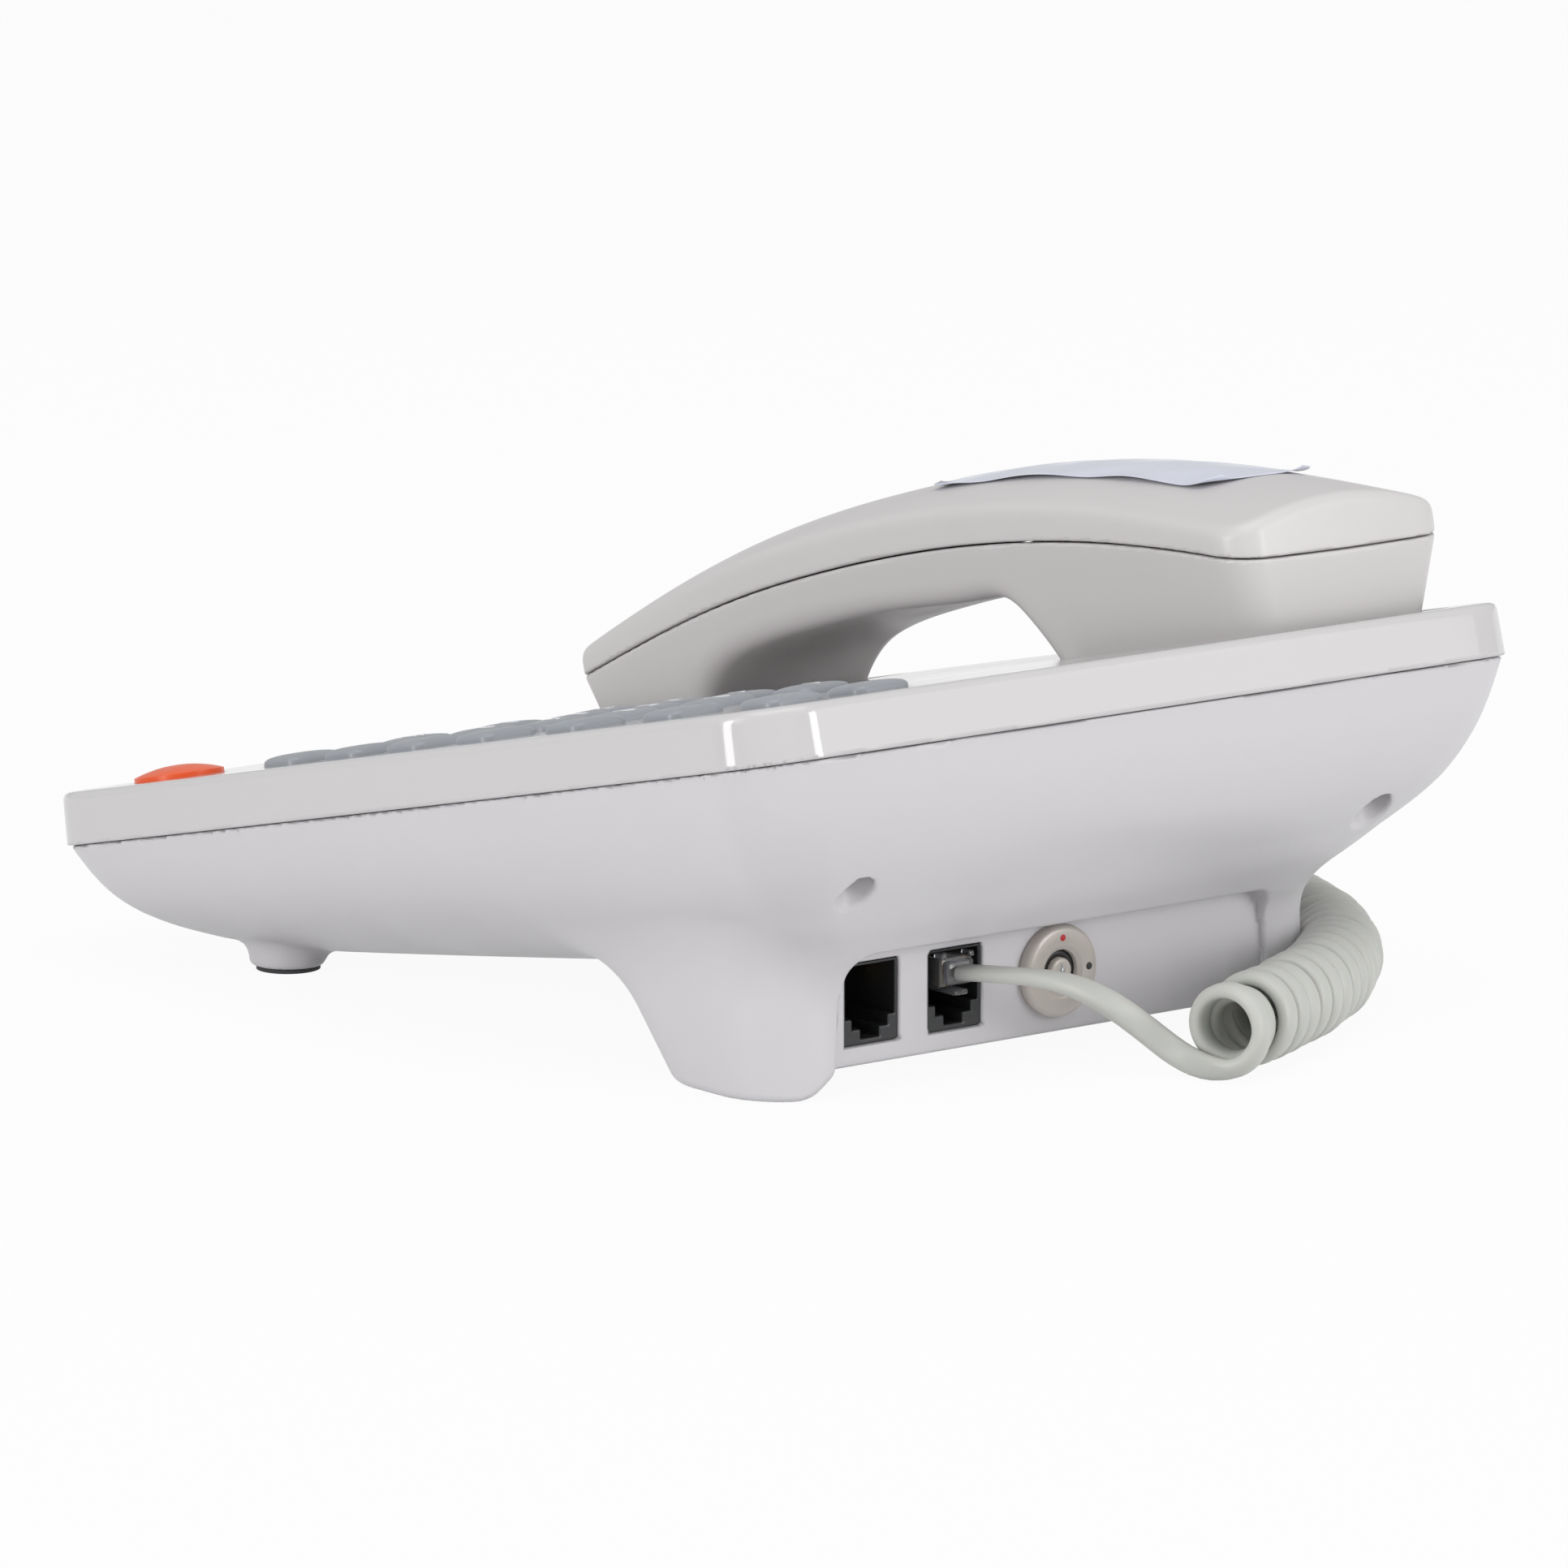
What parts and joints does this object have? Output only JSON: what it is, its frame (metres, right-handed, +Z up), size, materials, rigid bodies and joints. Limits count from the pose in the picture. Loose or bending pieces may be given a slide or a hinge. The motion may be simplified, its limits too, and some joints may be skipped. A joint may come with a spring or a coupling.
{
  "type": "corded desk telephone",
  "caption": "Desk telephone with a sloping base on a stand, a lift-off handset on a curly cord, sprung keys and a key lock.",
  "frame": {"origin": "on the table, under the middle of the box round the telephone without its cord", "axes": "+X to the user's right, +Y to the back, +Z up; the deck falls towards the user at 12.5 degrees"},
  "size_m": [0.2209, 0.2704, 0.1046],
  "materials": {
    "casing": "glossy off-white ABS",
    "key": "mid-grey moulded key",
    "recall": "glossy red-orange",
    "rubber": "dark rubber",
    "dark_plastic": "dark grey moulding",
    "contact": "gold-plated wire",
    "clear_plug": "clear polycarbonate",
    "film": "smooth protective film",
    "cord": "light grey PVC",
    "board": "green circuit board",
    "lock_face": "beige-grey moulding",
    "steel": "plain steel"
  },
  "bodies": {
    "base": {"base_plug": "clear_plug", "case_screws": "steel", "cord_coil": "cord", "cord_jack": "dark_plastic", "cord_jack_contacts": "contact", "cord_tail_base": "cord", "cord_tail_handset": "cord", "foot_pads": "rubber", "hook_spring": "steel", "hook_switch": "dark_plastic", "key_mat": "rubber", "keypad_board": "board", "keypad_board_screws": "steel", "line_jack": "dark_plastic", "line_jack_contacts": "contact", "lock_barrel": "lock_face", "lock_nut": "steel", "lock_switch": "dark_plastic", "lower_shell": "casing", "main_board": "board", "main_board_screws": "steel", "ringer_speaker": "steel", "socket_board": "board", "upper_shell": "casing"},
    "handset": {"handset_top_shell": "casing", "handset_lower_shell": "casing", "earpiece_driver": "dark_plastic", "microphone": "dark_plastic", "handset_weight": "steel", "handset_socket": "dark_plastic", "handset_film": "film", "handset_plug": "clear_plug"},
    "feature_key_1": {"feature_key_1": "key"},
    "feature_key_2": {"feature_key_2": "key"},
    "feature_key_3": {"feature_key_3": "key"},
    "feature_key_4": {"feature_key_4": "key"},
    "feature_key_5": {"feature_key_5": "key"},
    "feature_key_6": {"feature_key_6": "key"},
    "feature_key_7": {"feature_key_7": "key"},
    "feature_key_8": {"feature_key_8": "key"},
    "key_0": {"key_0": "key"},
    "key_1": {"key_1": "key"},
    "key_2": {"key_2": "key"},
    "key_3": {"key_3": "key"},
    "key_4": {"key_4": "key"},
    "key_5": {"key_5": "key"},
    "key_6": {"key_6": "key"},
    "key_7": {"key_7": "key"},
    "key_8": {"key_8": "key"},
    "key_9": {"key_9": "key"},
    "key_hash": {"key_hash": "key"},
    "key_star": {"key_star": "key"},
    "recall_button": {"recall_button": "recall"},
    "hook_plunger": {"hook_plunger": "key"},
    "lock_core": {"lock_core": "steel"}
  },
  "joints": [
    {"name": "handset_lift", "type": "slide", "parent": "base", "child": "handset", "axis": [0, -0.2164, 0.9763], "range_m": [0, 0.08]},
    {"name": "feature_key_1_press", "type": "slide", "parent": "base", "child": "feature_key_1", "axis": [0, 0.2164, -0.9763], "range_m": [0, 0.0012], "stiffness_N_per_m": 300},
    {"name": "feature_key_2_press", "type": "slide", "parent": "base", "child": "feature_key_2", "axis": [0, 0.2164, -0.9763], "range_m": [0, 0.0012], "stiffness_N_per_m": 300},
    {"name": "feature_key_3_press", "type": "slide", "parent": "base", "child": "feature_key_3", "axis": [0, 0.2164, -0.9763], "range_m": [0, 0.0012], "stiffness_N_per_m": 300},
    {"name": "feature_key_4_press", "type": "slide", "parent": "base", "child": "feature_key_4", "axis": [0, 0.2164, -0.9763], "range_m": [0, 0.0012], "stiffness_N_per_m": 300},
    {"name": "feature_key_5_press", "type": "slide", "parent": "base", "child": "feature_key_5", "axis": [0, 0.2164, -0.9763], "range_m": [0, 0.0012], "stiffness_N_per_m": 300},
    {"name": "feature_key_6_press", "type": "slide", "parent": "base", "child": "feature_key_6", "axis": [0, 0.2164, -0.9763], "range_m": [0, 0.0012], "stiffness_N_per_m": 300},
    {"name": "feature_key_7_press", "type": "slide", "parent": "base", "child": "feature_key_7", "axis": [0, 0.2164, -0.9763], "range_m": [0, 0.0012], "stiffness_N_per_m": 300},
    {"name": "feature_key_8_press", "type": "slide", "parent": "base", "child": "feature_key_8", "axis": [0, 0.2164, -0.9763], "range_m": [0, 0.0012], "stiffness_N_per_m": 300},
    {"name": "key_0_press", "type": "slide", "parent": "base", "child": "key_0", "axis": [0, 0.2164, -0.9763], "range_m": [0, 0.0012], "stiffness_N_per_m": 300},
    {"name": "key_1_press", "type": "slide", "parent": "base", "child": "key_1", "axis": [0, 0.2164, -0.9763], "range_m": [0, 0.0012], "stiffness_N_per_m": 300},
    {"name": "key_2_press", "type": "slide", "parent": "base", "child": "key_2", "axis": [0, 0.2164, -0.9763], "range_m": [0, 0.0012], "stiffness_N_per_m": 300},
    {"name": "key_3_press", "type": "slide", "parent": "base", "child": "key_3", "axis": [0, 0.2164, -0.9763], "range_m": [0, 0.0012], "stiffness_N_per_m": 300},
    {"name": "key_4_press", "type": "slide", "parent": "base", "child": "key_4", "axis": [0, 0.2164, -0.9763], "range_m": [0, 0.0012], "stiffness_N_per_m": 300},
    {"name": "key_5_press", "type": "slide", "parent": "base", "child": "key_5", "axis": [0, 0.2164, -0.9763], "range_m": [0, 0.0012], "stiffness_N_per_m": 300},
    {"name": "key_6_press", "type": "slide", "parent": "base", "child": "key_6", "axis": [0, 0.2164, -0.9763], "range_m": [0, 0.0012], "stiffness_N_per_m": 300},
    {"name": "key_7_press", "type": "slide", "parent": "base", "child": "key_7", "axis": [0, 0.2164, -0.9763], "range_m": [0, 0.0012], "stiffness_N_per_m": 300},
    {"name": "key_8_press", "type": "slide", "parent": "base", "child": "key_8", "axis": [0, 0.2164, -0.9763], "range_m": [0, 0.0012], "stiffness_N_per_m": 300},
    {"name": "key_9_press", "type": "slide", "parent": "base", "child": "key_9", "axis": [0, 0.2164, -0.9763], "range_m": [0, 0.0012], "stiffness_N_per_m": 300},
    {"name": "key_hash_press", "type": "slide", "parent": "base", "child": "key_hash", "axis": [0, 0.2164, -0.9763], "range_m": [0, 0.0012], "stiffness_N_per_m": 300},
    {"name": "key_star_press", "type": "slide", "parent": "base", "child": "key_star", "axis": [0, 0.2164, -0.9763], "range_m": [0, 0.0012], "stiffness_N_per_m": 300},
    {"name": "recall_button_press", "type": "slide", "parent": "base", "child": "recall_button", "axis": [0, 0.2164, -0.9763], "range_m": [0, 0.0012], "stiffness_N_per_m": 300},
    {"name": "hook_plunger_rise", "type": "slide", "parent": "base", "child": "hook_plunger", "axis": [0, -0.2164, 0.9763], "range_m": [0, 0.0035], "stiffness_N_per_m": 30, "springref_m": 0.0035, "deforming": ["hook_spring"]},
    {"name": "lock_turn", "type": "hinge", "parent": "base", "child": "lock_core", "pos_m": [-0.001, 0.074, 0.0167], "axis": [0, -1, 0], "range_deg": [0, 105]}
  ],
  "couplings": [
    {"joint": "hook_plunger_rise", "follows": "handset_lift", "ratio": 0.04375}
  ]
}
